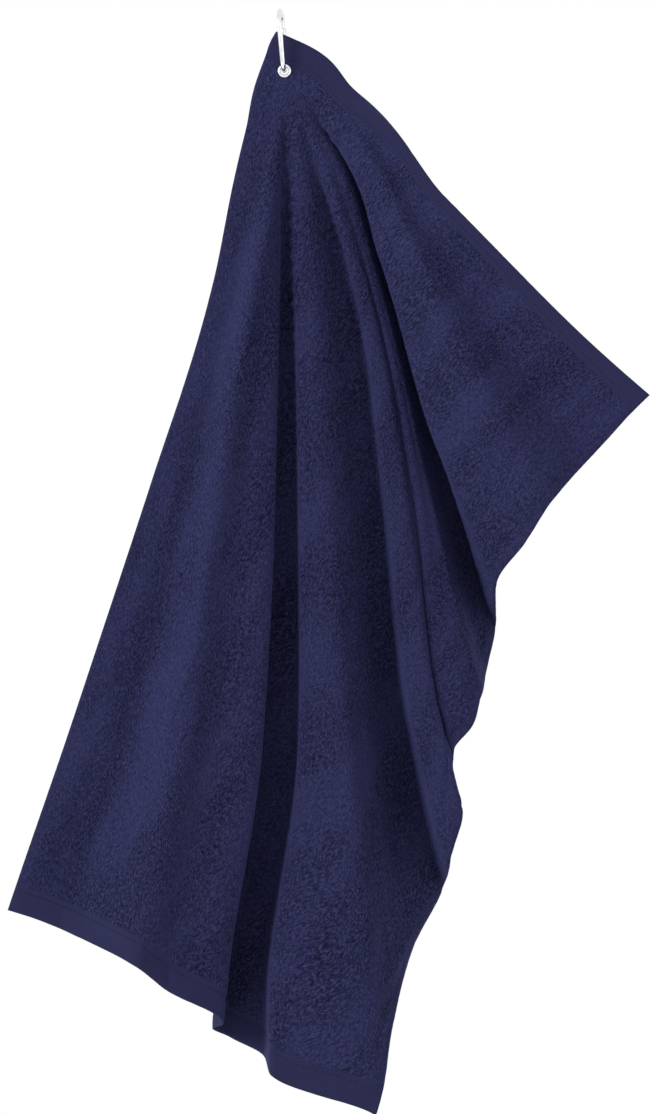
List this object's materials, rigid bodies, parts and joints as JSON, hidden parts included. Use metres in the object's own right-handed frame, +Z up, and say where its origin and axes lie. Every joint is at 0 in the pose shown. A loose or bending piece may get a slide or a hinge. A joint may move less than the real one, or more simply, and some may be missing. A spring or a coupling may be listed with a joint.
{
  "type": "golf towel",
  "caption": "Dark blue terry towel that hangs by a corner grommet from a small sprung snap hook, its cloth falling in loose folds.",
  "frame": {"origin": "the inner top of the spring hook, where it hangs on a ring or loop", "axes": "+Z up, +X to the right across the towel's front, +Y away from the viewer, towards the towel's back"},
  "size_m": [0.4673, 0.1318, 0.769],
  "materials": {
    "terry_cloth": "cotton terry pile, dark navy",
    "sewing_thread": "polyester sewing thread, dark navy",
    "bright_nickel": "bright nickel plate",
    "plain_steel": "drawn spring and pin steel"
  },
  "bodies": {
    "hook": {"hook_frame": "bright_nickel", "gate_pivot_pin": "plain_steel"},
    "gate": {"hook_gate": "bright_nickel", "gate_plunger": "plain_steel", "gate_spring": "plain_steel"},
    "towel": {"towel_cloth": "terry_cloth", "seam_left_side": "sewing_thread", "seam_right_side": "sewing_thread", "seam_top_end": "sewing_thread", "seam_bottom_end": "sewing_thread", "grommet_eyelet": "bright_nickel", "grommet_washer": "bright_nickel"}
  },
  "joints": [
    {"name": "gate_hinge", "type": "hinge", "parent": "hook", "child": "gate", "pos_m": [0.00085, 0.00814, -0.02895], "axis": [0.9945, -0.1045, 0], "range_deg": [0, 14], "stiffness_Nm_per_rad": 0.06, "springref_deg": -14.32},
    {"name": "towel_swing", "type": "hinge", "parent": "hook", "child": "towel", "pos_m": [0, 0, -0.0399], "axis": [0, 1, 0], "range_deg": [-50, 50]}
  ]
}
